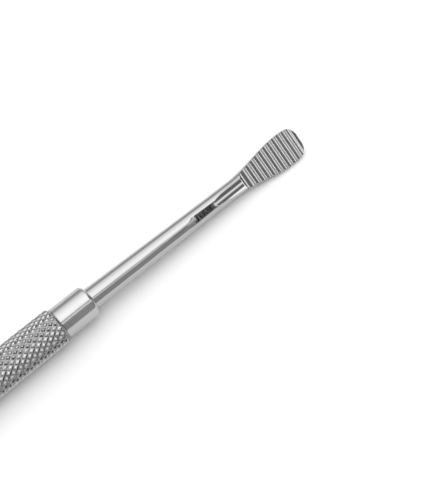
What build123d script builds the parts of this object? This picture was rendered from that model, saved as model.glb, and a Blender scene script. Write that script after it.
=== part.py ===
from build123d import *
import math
import os

# Double-ended bone file, in millimetres. It lies on a flat surface along X, with both toothed faces
# turned up and towards -Y. The origin is on that surface, under the middle of the handle.

# Handle: one turned bar, with a grip that takes the knurl and a plain collar at each end
grip_diameter = 8.0
grip_length = 46.0
grip_chamfer = 0.5
collar_diameter = 7.0
collar_length = 7.9
collar_land = 0.15
socket_countersink = 0.15

# Working end, along x from the collar's face: the turned shank, and its seat and tang in the socket
shank_length = 33.2
shank_root_diameter = 4.8
shank_slim_diameter = 4.06
shank_seat_depth = 0.8
tang_diameter = 3.2
tang_length = 12.0

# Neck: a shallow flat on the last of the shank, then a round-bottomed scoop down to the first tooth
neck_length = 9.1
flat_length = 5.3
flat_drop = 0.12
scoop_radius = 2.4
gullet_drop = 1.25

# Head: a spoon with a flat toothed face and a rounded back, forged from the same bar
head_length = 18.35
head_width = 7.65
widest_from_tip = 4.75
flare_length = 16.3
shoulder_curve = 0.03
head_depth = 3.5
tip_depth = 2.4
head_lift = 0.6
tip_lift = 0.75
tip_corner_radius = 1.2
tip_corner_margin = 0.05
tip_flattening = 0.525

# Teeth: straight rows across the face, whose steep flanks cut as the file is pulled back
face_height = 1.1
tooth_pitch = 1.52
tooth_depth = 0.42
cutting_flank = 0.46
crest_land = 0.07
gullet_flank = 0.5
last_row_from_tip = 2.25
tip_tooth_length = 1.05
tip_bevel_drop = 0.45
grinding_overrun = 1.0

# How the file lies: the roll of its faces, and the slight downward set of each working end
lie_roll = 32.0
end_set_angle = 2.0

# Places worked out from the sizes
grip_radius = grip_diameter / 2
root_radius = shank_root_diameter / 2
slim_radius = shank_slim_diameter / 2
tang_radius = tang_diameter / 2
collar_face = grip_length / 2 + collar_length
collar_chamfer = collar_diameter / 2 - root_radius - socket_countersink - collar_land
head_start = shank_length + neck_length
tip = head_start + head_length
widest = tip - widest_from_tip
plan_side = head_width / 2 + tip_corner_margin
tip_radius = plan_side + tip_flattening
flare_start = widest - flare_length
flat_height = slim_radius - flat_drop
gullet_height = slim_radius - gullet_drop


def handle_bar():
    """Turned bar: the chamfered grip, and a collar at each end eased down to a narrow land."""
    along_x = Rot(0, 90, 0)
    grip = along_x * Cylinder(grip_radius, grip_length)
    grip = chamfer(grip.edges().filter_by(GeomType.CIRCLE), grip_chamfer)
    bar = along_x * Cylinder(collar_diameter / 2, 2 * collar_face)
    bar = chamfer(bar.edges().filter_by(GeomType.CIRCLE), collar_chamfer)
    return grip + bar


def shank_and_tang():
    """Turned bar: the tang and seat in the socket, the tapered shank and the start of the neck."""
    seat_back = -shank_seat_depth
    tang_back = seat_back - tang_length
    with BuildPart() as shank:
        with BuildSketch():
            with BuildLine():
                Polyline(
                    (tang_back, 0),
                    (tang_back, tang_radius),
                    (seat_back, tang_radius),
                    (seat_back, root_radius),
                    (0, root_radius),
                    (shank_length, slim_radius),
                    (flare_start, slim_radius),
                    (flare_start, 0),
                    close=True,
                )
            make_face()
        revolve(axis=Axis.X)
    return shank.part


def head_section(x):
    """Oval section of the head at x: wider, flatter and higher to the widest place, then thinner."""
    if x > widest:
        beyond = (x - widest) / widest_from_tip
        half_width = head_width / 2 - shoulder_curve * (x - widest) ** 2
        half_depth = (head_depth + (tip_depth - head_depth) * beyond**2) / 2
        lift = head_lift + (tip_lift - head_lift) * beyond**2
    else:
        flare = (1 - math.cos(math.pi * (x - flare_start) / flare_length)) / 2
        half_width = slim_radius + flare * (head_width / 2 - slim_radius)
        half_depth = slim_radius + flare * (head_depth / 2 - slim_radius)
        lift = flare * head_lift
    section = Plane(origin=(x, 0, lift), x_dir=(0, 1, 0), z_dir=(1, 0, 0))
    return section * Ellipse(half_width, half_depth)


def head_forging():
    """Spoon of the head before grinding, smooth from the round neck to the tip."""
    along_flare = [flare_start + share * flare_length for share in (0, 1 / 4, 1 / 2, 3 / 4, 1)]
    return loft([head_section(x) for x in (*along_flare, tip)])


def tip_outline():
    """Plan that trims the head: sides just clear of it, and a blunt round tip with eased corners."""
    corner = tip - tip_radius + math.sqrt(tip_radius**2 - plan_side**2)
    with BuildSketch() as plan:
        with BuildLine():
            Polyline(
                (corner, plan_side),
                (flare_start, plan_side),
                (flare_start, -plan_side),
                (corner, -plan_side),
            )
            ThreePointArc((corner, -plan_side), (tip, 0), (corner, plan_side))
        make_face()
        fillet(plan.vertices().group_by(Axis.X)[-1], tip_corner_radius)
    return plan.sketch


def tooth_crests():
    """Places of the crests: a longer first tooth, even rows, and a short tooth at the tip."""
    first = head_start + gullet_flank
    last_row = tip - last_row_from_tip
    rows = int((last_row - first) / tooth_pitch)
    even = [last_row - tooth_pitch * row for row in reversed(range(rows))]
    return [first, *even, last_row + tip_tooth_length]


def ground_profile():
    """Side view of what is ground off: the flat, the gullet, the teeth and the bevel at the tip.

    A tooth that is closer to the next than the pitch is smaller in proportion.
    """
    above = 2 * root_radius
    flat_start = shank_length - flat_length
    past_tip = tip + grinding_overrun
    crests = tooth_crests()
    teeth = [(head_start, gullet_height), (crests[0], face_height)]
    for crest, following in zip(crests, crests[1:]):
        share = min((following - crest) / tooth_pitch, 1)
        teeth.append((crest + crest_land, face_height))
        teeth.append((following - share * cutting_flank, face_height - share * tooth_depth))
        teeth.append((following, face_height))
    teeth.append((crests[-1] + crest_land, face_height))
    bevel_slope = tip_bevel_drop / (tip - crests[-1] - crest_land)
    with BuildSketch(Plane.XZ) as profile:
        with BuildLine():
            Polyline(
                (flat_start, above),
                (flat_start, flat_height),
                (head_start, flat_height),
                *teeth,
                (past_tip, face_height - tip_bevel_drop - grinding_overrun * bevel_slope),
                (past_tip, above),
                close=True,
            )
        make_face()
    return profile.sketch


def scoop():
    """Round-bottomed groove that a wheel leaves, from the flat down to the gullet."""
    back_up = Vector(shank_length - head_start, 0, flat_height - gullet_height)
    at_gullet = Plane(origin=(head_start, 0, gullet_height), x_dir=(0, 1, 0), z_dir=back_up)
    wheel_section = at_gullet * Pos(0, -scoop_radius) * Circle(scoop_radius)
    return extrude(wheel_section, amount=back_up.length + grinding_overrun)


def working_end():
    """One finished working end along X, with its toothed face up and the collar's face at x = 0."""
    head = head_forging() & extrude(tip_outline(), amount=head_width, both=True)
    blank = shank_and_tang() + head
    return blank - extrude(ground_profile(), amount=head_width, both=True) - scoop()


def countersink():
    """Cone that eases the mouth of a socket, in the same place as its working end."""
    mouth = Cone(root_radius, root_radius + 2 * socket_countersink, 2 * socket_countersink)
    return Rot(0, 90, 0) * mouth


def main():
    os.makedirs("parts", exist_ok=True)
    seat = Pos(collar_face, 0, grip_radius) * Rot(0, end_set_angle, 0) * Rot(lie_roll, 0, 0)
    front = seat * working_end()
    rear = front.mirror(Plane.YZ)
    mouth = seat * countersink()
    handle = Pos(0, 0, grip_radius) * handle_bar()
    for tool in (front, rear, mouth, mouth.mirror(Plane.YZ)):
        handle -= tool
    export_step(handle, "parts/handle.step")
    export_step(front, "parts/working_end_front.step")
    export_step(rear, "parts/working_end_rear.step")


if __name__ == "__main__":
    main()
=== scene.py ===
import math

import bmesh
import bpy
from mathutils import Matrix, Vector


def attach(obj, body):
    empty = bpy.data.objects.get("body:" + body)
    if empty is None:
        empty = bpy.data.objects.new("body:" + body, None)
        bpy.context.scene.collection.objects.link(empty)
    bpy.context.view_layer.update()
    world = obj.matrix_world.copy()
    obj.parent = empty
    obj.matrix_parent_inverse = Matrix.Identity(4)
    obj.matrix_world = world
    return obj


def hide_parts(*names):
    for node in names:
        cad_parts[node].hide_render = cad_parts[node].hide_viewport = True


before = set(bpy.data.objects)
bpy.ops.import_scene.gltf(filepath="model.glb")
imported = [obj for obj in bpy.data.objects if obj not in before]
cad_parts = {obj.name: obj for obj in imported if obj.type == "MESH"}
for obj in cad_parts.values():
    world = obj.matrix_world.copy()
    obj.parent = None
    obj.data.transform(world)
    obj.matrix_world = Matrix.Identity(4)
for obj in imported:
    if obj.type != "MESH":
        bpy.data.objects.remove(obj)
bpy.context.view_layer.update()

# The handle: one bar of stainless steel, turned on a lathe. Two knurling wheels press a lattice of diamonds
# into the grip. A plain collar is left at each end, with a socket for the tang of a working end.
MM = 0.001
grip_radius = 4.0
grip_length = 46.0
grip_chamfer = 0.5
collar_radius = 3.5
collar_length = 7.9
collar_round = 0.8
collar_round_steps = 9
relief_width = 0.16
relief_depth = 0.1
relief_floor_shares = (0.7, 0.2)
knurl_starts = 21
knurl_diamonds = 28
knurl_depth = 0.25
knurl_groove_floor = 0.25
steps_per_diamond = 10
socket_radius = 2.4
socket_countersink = 0.15
socket_depth = 0.8
tang_radius = 1.6
tang_length = 12.0
lie_roll = math.radians(32.0)
end_set_angle = math.radians(2.0)
handle_sharp_angle = 35
merge_distance = 1e-4
collar_face = grip_length / 2 + collar_length
columns = knurl_starts * steps_per_diamond


def end_seat(side):
    """Where a working end sits on the +X or -X side, rolled about the bar and set slightly down."""
    seat = Matrix.Translation((collar_face, 0, grip_radius))
    seat = seat @ Matrix.Rotation(end_set_angle, 4, "Y") @ Matrix.Rotation(lie_roll, 4, "X")
    return Matrix.Diagonal((side, 1, 1, 1)) @ seat


def knurl_height(column, row):
    """Height of the knurl at a point of its lattice: 0 in a groove, and 1 on a diamond's rounded top."""
    one_way = (column + row) / steps_per_diamond
    other_way = (column - row) / steps_per_diamond
    from_groove = 2 * min(abs(one_way - round(one_way)), abs(other_way - round(other_way)))
    rise = max((from_groove - knurl_groove_floor) / (1 - knurl_groove_floor), 0)
    return math.sin(math.pi / 2 * rise)


def circle(x, radius, place=Matrix.Identity(4)):
    """Ring of points round the X axis at x, with one radius or a radius for each column, moved by place."""
    radii = radius if isinstance(radius, list) else [radius] * columns
    points = []
    for column, r in enumerate(radii):
        turn = 2 * math.pi * column / columns
        points.append(place @ Vector((x, r * math.sin(turn), r * math.cos(turn))))
    return points


def always_first(column, row):
    """One answer for each face of a skin."""
    return 0


def skin(name, rings, sharp_angle, diagonal=always_first, finish=always_first):
    """Closed mesh through rings of equal count, in mm.

    diagonal gives the way in which each face is cut in two, and finish the number of its material.
    """
    count = len(rings[0])
    points = [point * MM for ring in rings for point in ring]
    faces = []
    finishes = []
    for row in range(len(rings) - 1):
        for column in range(count):
            following = (column + 1) % count
            a, b = row * count + column, row * count + following
            c, d = b + count, a + count
            faces += [(a, b, d), (b, c, d)] if diagonal(column, row) else [(a, b, c), (a, c, d)]
            finishes += [finish(column, row)] * 2
    for row, order in ((0, -1), (len(rings) - 1, 1)):
        faces.append([row * count + column for column in range(count)][::order])
        finishes.append(finish(0, row))
    mesh = bpy.data.meshes.new(name)
    mesh.from_pydata(points, [], faces)
    mesh.polygons.foreach_set("material_index", finishes)
    work = bmesh.new()
    work.from_mesh(mesh)
    bmesh.ops.remove_doubles(work, verts=work.verts, dist=merge_distance * MM)
    bmesh.ops.dissolve_degenerate(work, edges=work.edges, dist=merge_distance * MM)
    bmesh.ops.recalc_face_normals(work, faces=work.faces)
    work.to_mesh(mesh)
    work.free()
    mesh.shade_smooth()
    mesh.set_sharp_from_angle(angle=math.radians(sharp_angle))
    piece = bpy.data.objects.new(name, mesh)
    bpy.context.scene.collection.objects.link(piece)
    return piece


def handle_end(side):
    """Rings from the bottom of a socket, over the collar, to the foot of the knurl, on one side."""
    seat = end_seat(1)
    rings = [
        circle(-socket_depth - tang_length, 0, seat),
        circle(-socket_depth - tang_length, tang_radius, seat),
        circle(-socket_depth, tang_radius, seat),
        circle(-socket_depth, socket_radius, seat),
        circle(-socket_countersink, socket_radius, seat),
    ]
    axis = Matrix.Translation((0, 0, grip_radius))
    rings.append(circle(collar_face, socket_radius + socket_countersink, axis))
    for step in range(collar_round_steps + 1):
        turn = math.pi / 2 * step / collar_round_steps
        out = collar_radius - collar_round * (1 - math.sin(turn))
        rings.append(circle(collar_face - collar_round * (1 - math.cos(turn)), out, axis))
    foot = grip_length / 2
    rings.append(circle(foot + relief_width, collar_radius, axis))
    for share in relief_floor_shares:
        rings.append(circle(foot + share * relief_width, collar_radius - relief_depth, axis))
    if side < 0:
        mirror = Matrix.Diagonal((-1, 1, 1, 1))
        rings = [[mirror @ point for point in ring] for ring in reversed(rings)]
    return rings


def knurl_rings():
    """Rings of the grip: the knurl, cut back by the chamfer at each end."""
    rows = knurl_diamonds * steps_per_diamond
    rings = []
    for row in range(rows + 1):
        x = grip_length * (row / rows - 0.5)
        chamfer = grip_radius - grip_chamfer + (grip_length / 2 - abs(x))
        radii = []
        for column in range(columns):
            pressed = knurl_depth * (knurl_height(column, row) - 1)
            radii.append(min(grip_radius + pressed, chamfer))
        rings.append(circle(x, radii, Matrix.Translation((0, 0, grip_radius))))
    return rings


left_end = handle_end(-1)
grip = knurl_rings()


def along_groove(column, row):
    """True where a groove of the knurl crosses a face on its other diagonal."""
    return (column + row - len(left_end) + 1) % steps_per_diamond == 0


def handle_finish(column, row):
    """0 on the knurl, and 1 on the turned collars and in the sockets."""
    return 0 if len(left_end) <= row < len(left_end) + len(grip) - 1 else 1


handle_rings = [*left_end, *grip, *handle_end(1)]
handle = skin("knurled_handle", handle_rings, handle_sharp_angle, along_groove, handle_finish)


def linear(hex_colour):
    """Linear colour for an sRGB hex value."""
    channels = [int(hex_colour[i:i + 2], 16) / 255 for i in (1, 3, 5)]
    return [c / 12.92 if c <= 0.04045 else ((c + 0.055) / 1.055) ** 2.4 for c in channels] + [1]


def find_socket(sockets, name):
    """Socket by its identifier, or else by its name, with spaces written as underscores."""
    by_identifier = [each for each in sockets if each.identifier == name]
    return by_identifier[0] if by_identifier else sockets[name.replace("_", " ")]


def add(owner, kind, links=(), **settings):
    """Adds a node. settings are its properties or sockets, and links are (socket, source socket) pairs."""
    node = owner.node_tree.nodes.new("ShaderNode" + kind)
    for key, value in settings.items():
        if hasattr(node, key):
            setattr(node, key, value)
        else:
            find_socket(node.inputs, key).default_value = value
    for key, source in links:
        owner.node_tree.links.new(find_socket(node.inputs, key), source)
    return node


def new_steel(name):
    """Bare metal with node tools, its shader, and its own coordinates in millimetres."""
    material = bpy.data.materials.new(name)
    material.use_nodes = True
    shader = material.node_tree.nodes["Principled BSDF"]
    shader.inputs["Metallic"].default_value = 1
    place = add(material, "TexCoord").outputs["Object"]
    in_mm = add(material, "VectorMath", [("Vector", place)], operation="SCALE", Scale=1 / MM)
    return material, shader, in_mm.outputs["Vector"]


# Stainless steel pressed by the knurling wheels. The base colour is painted darker down into the grooves,
# as the shade that falls in them and as what the wheels smeared and washing leaves, and lighter on the worn
# tops of the diamonds; the grooves are also duller. The real grain is about 0.02 mm, too fine to show, so
# it is drawn at 0.15 mm.
knurl_grain = 0.15
knurl_grain_depth = 0.01
knurled_steel, shader, in_mm = new_steel("knurled_stainless_steel")
from_axis = add(
    knurled_steel, "VectorMath", [("Vector", in_mm)], operation="MULTIPLY_ADD", Vector_001=(0, 1, 1),
    Vector_002=(0, 0, -grip_radius),
)
radius = add(knurled_steel, "VectorMath", [("Vector", from_axis.outputs["Vector"])], operation="LENGTH")
height = add(
    knurled_steel, "MapRange", [("Value", radius.outputs["Value"])],
    From_Min=grip_radius - knurl_depth, From_Max=grip_radius,
)
# Painted shade and residue: the base colour runs from dark in the grooves to light on the diamonds' tops,
# by height.
groove_shade_and_residue = add(
    knurled_steel, "Mix", [("Factor_Float", height.outputs["Result"])], data_type="RGBA",
    A_Color=linear("#8c8c8c"), B_Color=linear("#d0d0d0"),
)
roughness = add(
    knurled_steel, "MapRange", [("Value", height.outputs["Result"])], To_Min=0.22, To_Max=0.14,
)
grain = add(knurled_steel, "TexNoise", [("Vector", in_mm)], Scale=1 / knurl_grain, Detail=2)
bump = add(
    knurled_steel, "Bump", [("Height", grain.outputs["Fac"])], Strength=0.4, Distance=knurl_grain_depth * MM
)
for socket, source in (
    ("Base Color", find_socket(groove_shade_and_residue.outputs, "Result_Color")),
    ("Roughness", roughness.outputs["Result"]),
    ("Normal", bump.outputs["Normal"]),
):
    knurled_steel.node_tree.links.new(shader.inputs[socket], source)
handle.data.materials.append(knurled_steel)

# Stainless steel as the lathe leaves it and a fine belt eases it: a satin grey with faint rings round the
# bar and soft smudges. The real feed is about 0.06 mm, too fine to show, so the rings are drawn 0.3 mm
# apart. At scale 1 a wave texture repeats every pi / 10.
ring_spacing = 0.3
ring_depth = 0.002
smudge_size = 2.5
wave_period = math.pi / 10
turned_steel, shader, in_mm = new_steel("turned_stainless_steel")
shader.inputs["Base Color"].default_value = linear("#b8b8b8")
rings = add(
    turned_steel, "TexWave", [("Vector", in_mm)], bands_direction="X", Scale=wave_period / ring_spacing,
    Distortion=1.5, Detail=2,
)
smudge = add(turned_steel, "TexNoise", [("Vector", in_mm)], Scale=1 / smudge_size, Detail=3)
roughness = add(
    turned_steel, "MapRange", [("Value", smudge.outputs["Fac"])], From_Min=0.3, From_Max=0.7, To_Min=0.12,
    To_Max=0.2,
)
bump = add(turned_steel, "Bump", [("Height", rings.outputs["Fac"])], Strength=0.3, Distance=ring_depth * MM)
for socket, source in (("Roughness", roughness.outputs["Result"]), ("Normal", bump.outputs["Normal"])):
    turned_steel.node_tree.links.new(shader.inputs[socket], source)
handle.data.materials.append(turned_steel)
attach(handle, "root")
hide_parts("handle")

# The working ends: each is forged and turned from one bar of stainless steel, and held in its socket by a
# tang. A flat and a round-bottomed scoop are ground into the neck, and rows of teeth into the head's face.
shank_length = 33.2
slim_radius = 2.03
neck_length = 9.1
flat_length = 5.3
flat_drop = 0.12
scoop_radius = 2.4
gullet_drop = 1.25
head_length = 18.35
head_width = 7.65
widest_from_tip = 4.75
flare_length = 16.3
shoulder_curve = 0.03
head_depth = 3.5
tip_depth = 2.4
head_lift = 0.6
tip_lift = 0.75
tip_corner_radius = 1.2
tip_corner_margin = 0.05
tip_flattening = 0.525
face_height = 1.1
tooth_pitch = 1.52
tooth_depth = 0.42
cutting_flank = 0.46
crest_land = 0.07
gullet_flank = 0.5
last_row_from_tip = 2.25
tip_tooth_length = 1.05
tip_bevel_drop = 0.45
edge_wear = 0.08
wear_shares = (-1, -0.5, 0, 0.5, 1)
wall_steps = 15
back_steps = 46
face_steps = 23
shank_steps = 12
flat_steps = 12
scoop_ring_gap = 0.2
flank_shares = (0.25, 0.5, 0.75)
tip_arc_degrees = range(0, 50, 2)
wall_gap = 0.002
halvings = 30
file_sharp_angle = 28
head_start = shank_length + neck_length
tip = head_start + head_length
widest = tip - widest_from_tip
plan_side = head_width / 2 + tip_corner_margin
tip_radius = plan_side + tip_flattening
flare_start = widest - flare_length
flat_start = shank_length - flat_length
flat_height = slim_radius - flat_drop
gullet_height = slim_radius - gullet_drop
last_row = tip - last_row_from_tip
even_rows = int((last_row - head_start - gullet_flank) / tooth_pitch)
crests = [head_start + gullet_flank]
crests += [last_row - tooth_pitch * row for row in reversed(range(even_rows))]
crests.append(last_row + tip_tooth_length)


def teeth_profile():
    """Corners of the toothed face's side view, from the gullet to the bevel. A short tooth is smaller."""
    corners = [(head_start, gullet_height), (crests[0], face_height)]
    for crest, following in zip(crests, crests[1:]):
        share = min((following - crest) / tooth_pitch, 1)
        corners.append((crest + crest_land, face_height))
        corners.append((following - share * cutting_flank, face_height - share * tooth_depth))
        corners.append((following, face_height))
    corners.append((crests[-1] + crest_land, face_height))
    corners.append((tip, face_height - tip_bevel_drop))
    return corners


teeth = teeth_profile()


def sharp_ground(x):
    """Height of the ground top at x, along the middle: the flat, the scoop's bottom, and the teeth."""
    if x <= shank_length:
        return flat_height
    if x <= head_start:
        return flat_height - (flat_height - gullet_height) * (x - shank_length) / neck_length
    for (x0, z0), (x1, z1) in zip(teeth, teeth[1:]):
        if x <= x1:
            return z0 + (z1 - z0) * (x - x0) / (x1 - x0)
    return teeth[-1][1]


def ground(x):
    """The same height with its corners worn round."""
    return sum(sharp_ground(x + edge_wear * share) for share in wear_shares) / len(wear_shares)


def oval(x):
    """Half-width, half-depth and lift of the forging's section at x."""
    if x <= flare_start:
        radius = socket_radius + (slim_radius - socket_radius) * min(x / shank_length, 1)
        return radius, radius, 0
    if x > widest:
        beyond = (x - widest) / widest_from_tip
        half_depth = (head_depth + (tip_depth - head_depth) * beyond**2) / 2
        lift = head_lift + (tip_lift - head_lift) * beyond**2
        return head_width / 2 - shoulder_curve * (x - widest) ** 2, half_depth, lift
    flare = (1 - math.cos(math.pi * (x - flare_start) / flare_length)) / 2
    half_width = slim_radius + flare * (head_width / 2 - slim_radius)
    return half_width, slim_radius + flare * (head_depth / 2 - slim_radius), flare * head_lift


def half_outline(x):
    """Half-width of the head's trimmed plan at x: straight, then the eased corner, then the blunt tip."""
    middle = tip - tip_radius
    corner_y = plan_side - tip_corner_radius
    corner_x = middle + math.sqrt((tip_radius - tip_corner_radius) ** 2 - corner_y**2)
    tangent_x = middle + (corner_x - middle) * tip_radius / (tip_radius - tip_corner_radius)
    if x <= corner_x:
        return plan_side
    if x <= tangent_x:
        return corner_y + math.sqrt(tip_corner_radius**2 - (x - corner_x) ** 2)
    return math.sqrt(max(tip_radius**2 - (x - middle) ** 2, 0))


def wheel_rise(y):
    """Height of the scoop's round bottom above its middle."""
    return scoop_radius - math.sqrt(scoop_radius**2 - y**2)


def top_half_width(x, half_width, half_depth, lift, middle):
    """Half-width of the ground top at x, where it meets the forging.

    The top is level on the flat and the teeth, and round in the scoop. Before the flat this is where the
    flat's edge would be, so that every ring has the same layout.
    """
    if not shank_length < x < head_start:
        height = min(middle - lift, half_depth)
        return half_width * math.sqrt(1 - (height / half_depth) ** 2)
    low, high = 0, half_width
    for _ in range(halvings):
        y = (low + high) / 2
        round_back = lift + half_depth * math.sqrt(1 - (y / half_width) ** 2)
        if min(middle + wheel_rise(y), flat_height) < round_back:
            low = y
        else:
            high = y
    return low


def section(x):
    """Ring of the working end at x: side wall, rounded back, other wall and ground top."""
    half_width, half_depth, lift = oval(x)
    reach = min(half_width, half_outline(x))
    middle = ground(x)
    top_width = top_half_width(x, half_width, half_depth, lift, middle)
    high = math.acos(top_width / half_width)
    low = -math.acos(reach / half_width)
    wall = []
    for step in range(wall_steps):
        angle = high + (low - high) * step / (wall_steps - 1)
        wall.append((min(half_width * math.cos(angle), reach), lift + half_depth * math.sin(angle)))
    back = []
    for step in range(back_steps):
        y = reach * math.cos(math.pi * (step + 1) / (back_steps + 1))
        back.append((y, lift - half_depth * math.sqrt(1 - (y / half_width) ** 2)))
    other_wall = [(-y, z) for y, z in reversed(wall)]
    y_top, z_top = wall[0]
    face = []
    for step in range(face_steps):
        y = y_top * (2 * (step + 1) / (face_steps + 1) - 1)
        if x < flat_start:
            z = lift + half_depth * math.sqrt(1 - (y / half_width) ** 2)
        elif shank_length < x < head_start:
            z = min(middle + wheel_rise(y), flat_height)
        else:
            z = z_top
        face.append((y, z))
    return [Vector((x, y, z)) for y, z in (*wall, *back, *other_wall, *face)]


def stations():
    """Places along the working end where it needs a ring: close together at its corners and its tip.

    Where the ground top steps down or up, two rings stand wall_gap apart.
    """
    places = [flat_start * step / shank_steps for step in range(shank_steps + 1)]
    places += [flat_start + flat_length * step / flat_steps for step in range(1, flat_steps + 1)]
    places += [flat_start + wall_gap, shank_length + wall_gap, head_start - wall_gap]
    scoop_rings = int(neck_length / scoop_ring_gap)
    places += [shank_length + scoop_ring_gap * step for step in range(1, scoop_rings + 1)]
    for corner, _ in teeth[:-1]:
        places += [corner + edge_wear * share for share in wear_shares]
    for (x0, _), (x1, _) in zip(teeth, teeth[1:]):
        places += [x0 + (x1 - x0) * share for share in flank_shares]
    places += [tip - tip_radius * (1 - math.cos(math.radians(degrees))) for degrees in tip_arc_degrees]
    places = sorted(place for place in set(places) if place <= tip)
    following = places[1:] + [tip + 1]
    return [place for place, after in zip(places, following) if after - place > merge_distance]


ring_places = [-1, -1, -1, -1, *stations()]


def end_finish(column, row):
    """1 on the ground flat, scoop and teeth, and 0 on the polished rest."""
    on_top = column >= 2 * wall_steps + back_steps - 1
    return 1 if on_top and flat_start <= ring_places[row] < tip else 0


def working_end(name, side):
    """Mesh of one working end in its seat, with its tang."""
    seat = end_seat(side)
    rings = []
    for x, radius in (
        (-socket_depth - tang_length, 0),
        (-socket_depth - tang_length, tang_radius),
        (-socket_depth, tang_radius),
        (-socket_depth, socket_radius),
    ):
        share = radius / socket_radius
        rings.append([Vector((x, share * point.y, share * point.z)) for point in section(0)])
    rings += [section(x) for x in stations()]
    seated = [[seat @ point for point in ring] for ring in rings]
    return skin(name, seated, file_sharp_angle, finish=end_finish)


# Stainless steel polished lengthwise on a felt wheel: bright, with faint streaks along the shank. The real
# streaks are some 0.02 mm wide, too fine to show, so they are drawn 0.25 mm wide and 6 mm long.
streak_width = 0.25
streak_length = 6.0
streak_depth = 0.008
polished_steel, shader, in_mm = new_steel("polished_stainless_steel")
shader.inputs["Base Color"].default_value = linear("#b2b2b2")
stretched = add(
    polished_steel, "VectorMath", [("Vector", in_mm)], operation="MULTIPLY",
    Vector_001=(1 / streak_length, 1 / streak_width, 1 / streak_width),
)
streaks = add(polished_steel, "TexNoise", [("Vector", stretched.outputs["Vector"])], Scale=1, Detail=2)
roughness = add(
    polished_steel, "MapRange", [("Value", streaks.outputs["Fac"])], From_Min=0.3, From_Max=0.7,
    To_Min=0.05, To_Max=0.11,
)
bump = add(
    polished_steel, "Bump", [("Height", streaks.outputs["Fac"])], Strength=0.3, Distance=streak_depth * MM
)
for socket, source in (("Roughness", roughness.outputs["Result"]), ("Normal", bump.outputs["Normal"])):
    polished_steel.node_tree.links.new(shader.inputs[socket], source)

# Stainless steel off the grinding wheel, on the flat, the scoop and the teeth: satin, with fine lines
# across the file. The real grit leaves lines of 0.03 mm, too fine to show, so they are drawn 0.125 mm wide.
grinding_line_width = 0.125
grinding_line_length = 2.0
grinding_line_depth = 0.004
ground_steel, shader, in_mm = new_steel("ground_stainless_steel")
shader.inputs["Base Color"].default_value = linear("#c0c0c0")
level = add(ground_steel, "Mapping", [("Vector", in_mm)], vector_type="VECTOR", Rotation=(-lie_roll, 0, 0))
stretched = add(
    ground_steel, "VectorMath", [("Vector", level.outputs["Vector"])], operation="MULTIPLY",
    Vector_001=(1 / grinding_line_width, 1 / grinding_line_length, 1),
)
lines = add(ground_steel, "TexNoise", [("Vector", stretched.outputs["Vector"])], Scale=1, Detail=2)
roughness = add(
    ground_steel, "MapRange", [("Value", lines.outputs["Fac"])], From_Min=0.3, From_Max=0.7,
    To_Min=0.05, To_Max=0.13,
)
bump = add(
    ground_steel, "Bump", [("Height", lines.outputs["Fac"])], Strength=0.3,
    Distance=grinding_line_depth * MM,
)
for socket, source in (("Roughness", roughness.outputs["Result"]), ("Normal", bump.outputs["Normal"])):
    ground_steel.node_tree.links.new(shader.inputs[socket], source)
for name, node, side in (("front_file", "working_end_front", 1), ("rear_file", "working_end_rear", -1)):
    end = working_end(name, side)
    end.data.materials.append(polished_steel)
    end.data.materials.append(ground_steel)
    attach(end, "root")
    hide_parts(node)

# The floor: a sheet of white matt paper, laid flat. It is pure white to the camera and in the steel's
# reflections, throws back a little less light, and keeps the file's soft shadow.
floor_half_width = 3.0
floor_glow = 0.03
floor_corners = []
for x, y in ((-1, -1), (1, -1), (1, 1), (-1, 1)):
    floor_corners.append((x * floor_half_width, y * floor_half_width, 0))
floor_mesh = bpy.data.meshes.new("paper_floor")
floor_mesh.from_pydata(floor_corners, [], [(0, 1, 2, 3)])
floor = bpy.data.objects.new("paper_floor", floor_mesh)
bpy.context.scene.collection.objects.link(floor)
paper = bpy.data.materials.new("white_paper")
paper.use_nodes = True
shader = paper.node_tree.nodes["Principled BSDF"]
shader.inputs["Roughness"].default_value = 0.9
shader.inputs["Specular IOR Level"].default_value = 0
shader.inputs["Emission Color"].default_value = (1, 1, 1, 1)
ray = add(paper, "LightPath")
seen = add(
    paper, "Math", [("Value", ray.outputs["Is Camera Ray"]), ("Value_001", ray.outputs["Is Glossy Ray"])],
    operation="MAXIMUM",
)
seen = add(
    paper, "Math", [("Value", seen.outputs["Value"]), ("Value_001", ray.outputs["Is Transmission Ray"])],
    operation="MAXIMUM",
)
tone = add(
    paper, "Mix", [("Factor_Float", seen.outputs["Value"])], data_type="RGBA", A_Color=linear("#e6e6e6"),
    B_Color=(1, 1, 1, 1),
)
glow = add(paper, "Math", [("Value", seen.outputs["Value"])], operation="MULTIPLY", Value_001=floor_glow)
paper.node_tree.links.new(shader.inputs["Base Color"], find_socket(tone.outputs, "Result_Color"))
paper.node_tree.links.new(shader.inputs["Emission Strength"], glow.outputs["Value"])
floor_mesh.materials.append(paper)

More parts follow.
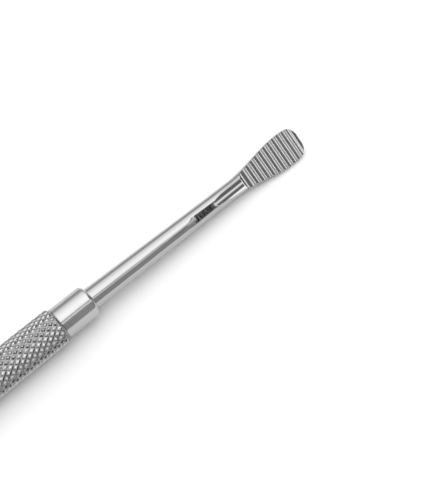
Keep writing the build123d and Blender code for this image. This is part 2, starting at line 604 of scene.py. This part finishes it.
# The light: a grey studio with a long softbox overhead that fades towards +Y, a thin strip light beside it,
# and black and white cards towards -Y and beyond the head. Each panel has its place across the file, as the
# slope of a ray towards +Y, its place along the file, as the X part of a unit ray, and its brightness. A
# place is where the panel begins, is full, starts to fade and ends. A slope of 99 is the horizon. A panel
# covers those before it, and lowest_rise keeps the slope finite at the horizon.
room_brightness = 0.55
lowest_rise = 0.02
studio = (
    ("softbox", (-0.41, -0.34, 0.15, 2.2), (-0.65, -0.45, 0.7, 0.85), 1.95),
    ("strip_light", (-0.76, -0.73, -0.62, -0.57), (-0.65, -0.45, 0.44, 0.48), 1.75),
    ("white_card", (-0.94, -0.88, -0.76, -0.71), (-0.76, -0.7, 0.02, 0.08), 2.4),
    ("first_tooth_card", (-1.5, -1.3, -0.72, -0.66), (-0.66, -0.62, -0.48, -0.44), 0.1),
    ("low_card", (-99, -98, -1.0, -0.9), (-0.9, -0.8, 0.08, 0.13), 0.08),
    ("black_card", (-99, -98, -0.86, -0.8), (0.1, 0.13, 0.47, 0.5), 0.44),
    ("flat_card", (-1.08, -1.0, -0.77, -0.74), (0.37, 0.39, 0.47, 0.5), 0.0),
    ("dark_wall", (-99, -98, 0.1, 0.3), (0.55, 0.6, 1.2, 1.3), 0.2),
    ("head_light", (-1.2, -1.1, -0.5, -0.4), (0.46, 0.5, 0.82, 0.87), 1.25),
    ("far_wall", (-99, -98, 98, 99), (0.86, 0.9, 1.2, 1.3), 0.2),
)
world = bpy.data.worlds.new("studio")
bpy.context.scene.world = world
world.use_nodes = True
background = world.node_tree.nodes["Background"]
direction = add(world, "TexCoord").outputs["Generated"]
parts = add(world, "SeparateXYZ", [("Vector", direction)])
up = add(world, "Math", [("Value", parts.outputs["Z"])], operation="MAXIMUM", Value_001=lowest_rise)
across = add(
    world, "Math", [("Value", parts.outputs["Y"]), ("Value_001", up.outputs["Value"])], operation="DIVIDE"
)


def inside(position, begin, full, fade, end):
    """Share of a panel at a position: 0 before it begins, 1 where it is full, and 0 again past its end."""
    enter = add(world, "MapRange", [("Value", position)], From_Min=begin, From_Max=full)
    leave = add(world, "MapRange", [("Value", position)], From_Min=end, From_Max=fade)
    links = [("Value", enter.outputs["Result"]), ("Value_001", leave.outputs["Result"])]
    return add(world, "Math", links, operation="MULTIPLY").outputs["Value"]


light = None
for name, place_across, place_along, brightness in studio:
    reach_across = inside(across.outputs["Value"], *place_across)
    reach_along = inside(parts.outputs["X"], *place_along)
    reach = [("Value", reach_across), ("Value_001", reach_along)]
    mask = add(world, "Math", reach, operation="MULTIPLY", name=name)
    panel = add(
        world, "Mix", [("Factor_Float", mask.outputs["Value"])], A_Float=room_brightness, B_Float=brightness
    )
    if light:
        world.node_tree.links.new(find_socket(panel.inputs, "A_Float"), light)
    light = find_socket(panel.outputs, "Result_Float")
world.node_tree.links.new(background.inputs["Strength"], light)
background.inputs["Color"].default_value = (1, 1, 1, 1)

# The camera: a long lens above the handle, looking down along the file towards the toothed head.
azimuth = math.radians(-43.8)
elevation = math.radians(59.7)
camera_back = Vector((
    math.sin(azimuth) * math.cos(elevation),
    -math.cos(azimuth) * math.cos(elevation),
    math.sin(elevation),
))
aim = Vector((0.0591, -0.00663, 0.0008))
distance = 0.1663
focal_length_px = 785
frame_height_px = 488
camera_data = bpy.data.cameras.new("camera")
camera_data.lens = focal_length_px / frame_height_px * camera_data.sensor_width
camera_data.clip_start = 0.01
camera = bpy.data.objects.new("camera", camera_data)
bpy.context.scene.collection.objects.link(camera)
camera.location = aim + camera_back * distance
camera.rotation_mode = "QUATERNION"
camera.rotation_quaternion = camera_back.to_track_quat("Z", "Y")
bpy.context.scene.camera = camera
bpy.context.scene.view_settings.view_transform = "Standard"
